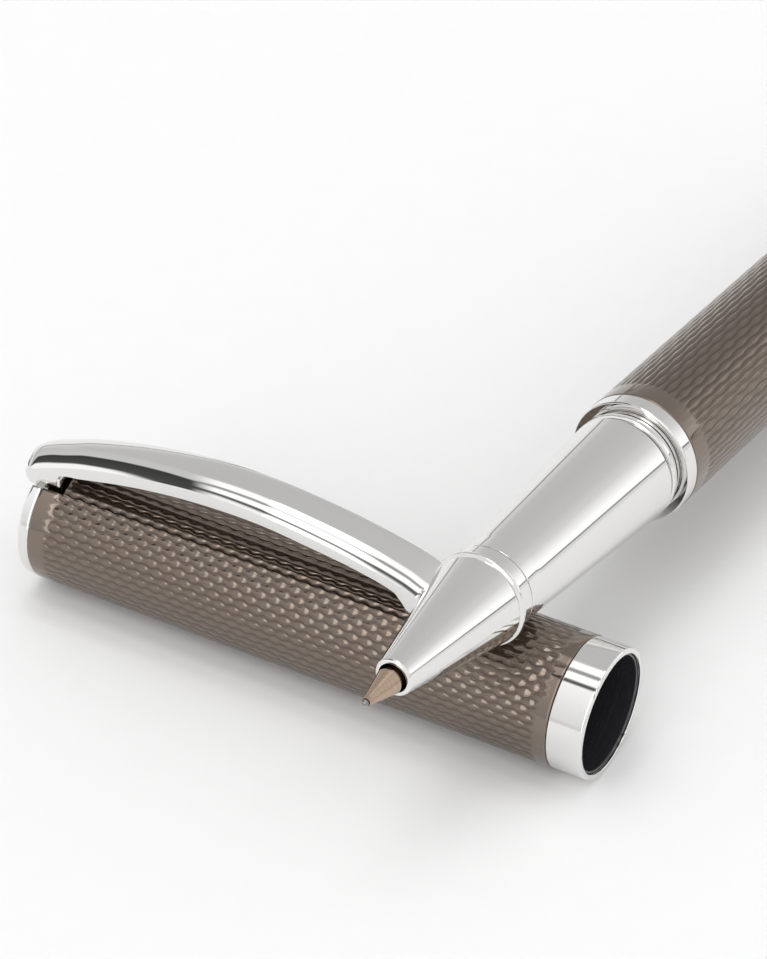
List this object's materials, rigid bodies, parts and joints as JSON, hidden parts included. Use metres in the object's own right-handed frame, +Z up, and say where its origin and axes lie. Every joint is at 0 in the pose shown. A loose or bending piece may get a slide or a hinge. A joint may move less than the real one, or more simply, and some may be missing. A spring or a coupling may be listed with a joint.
{
  "type": "rollerball pen",
  "caption": "Uncapped rollerball pen lying across its own cap: tapered chrome grip, wavy engraved barrel and cap, arched chrome clip.",
  "frame": {"origin": "bottom centre of the box round the cap and the pen as they lie on a table", "axes": "+X along the cap from its closed end to its mouth, +Y towards the tail of the pen, +Z up"},
  "size_m": [0.0604, 0.122, 0.0228],
  "materials": {
    "chrome": "polished chrome plate",
    "engraved_metal": "brass with a wavy engine-turned pattern under a dark taupe metal coating, semi-gloss",
    "brass": "turned",
    "nickel_silver": "turned nickel silver, fine lathe lines",
    "spring_steel": "drawn wire",
    "black_plastic": "moulded, semi-gloss",
    "white_plastic": "moulded",
    "refill_tube": "drawn tube",
    "ink_fibre": "ink-soaked fibre",
    "ball": "ground carbide"
  },
  "bodies": {
    "cap": {"cap_tube": "engraved_metal", "cap_mouth_ring": "chrome", "cap_liner": "black_plastic", "inner_cap": "black_plastic", "cap_end_disc": "chrome", "cap_end_plug": "brass", "clip_pin": "spring_steel", "clip_spring": "spring_steel"},
    "clip": {"clip": "chrome"},
    "section": {"nose_cone": "chrome", "neck_collar": "chrome", "grip_sleeve": "chrome", "section_spigot": "brass", "snap_ring": "chrome"},
    "refill": {"refill_tip": "nickel_silver", "refill_front_plug": "black_plastic", "feed_wick": "ink_fibre", "refill_tube": "refill_tube", "ink_reservoir": "ink_fibre", "refill_end_plug": "white_plastic"},
    "ball": {"writing_ball": "ball"},
    "spring_carrier": {"refill_spring": "spring_steel", "spring_seat": "brass"},
    "barrel": {"barrel_tube": "engraved_metal", "barrel_trim_ring": "chrome", "barrel_thread_insert": "brass", "barrel_end_plug": "brass", "barrel_end_disc": "chrome"}
  },
  "joints": [
    {"name": "pen_lift", "type": "slide", "parent": "cap", "child": "section", "axis": [0, 0, 1], "range_m": [0, 0.06]},
    {"name": "clip_flex", "type": "hinge", "parent": "cap", "child": "clip", "pos_m": [-0.02789, -0.03874, 0.01089], "axis": [0, -0.9925, -0.1219], "range_deg": [0, 4], "stiffness_Nm_per_rad": 3, "springref_deg": -0.11, "deforming": ["clip_spring"]},
    {"name": "refill_press", "type": "slide", "parent": "section", "child": "refill", "axis": [0.0572, 0.9917, -0.1149], "range_m": [0, 0.0012], "stiffness_N_per_m": 300, "springref_m": -0.0005, "deforming": ["refill_spring"]},
    {"name": "ball_roll", "type": "hinge", "parent": "refill", "child": "ball", "pos_m": [0.01695, -0.06069, 0.0202], "axis": [0.9983, -0.0576, 0], "continuous": true},
    {"name": "barrel_travel", "type": "slide", "parent": "section", "child": "spring_carrier", "axis": [0.0572, 0.9917, -0.1149], "range_m": [0, 0.00375]},
    {"name": "barrel_unscrew", "type": "hinge", "parent": "spring_carrier", "child": "barrel", "pos_m": [0.01964, -0.01408, 0.0148], "axis": [0.0572, 0.9917, -0.1149], "range_deg": [0, 1800]}
  ],
  "couplings": [
    {"joint": "barrel_unscrew", "follows": "barrel_travel", "rad_per_m": 8377.6}
  ]
}
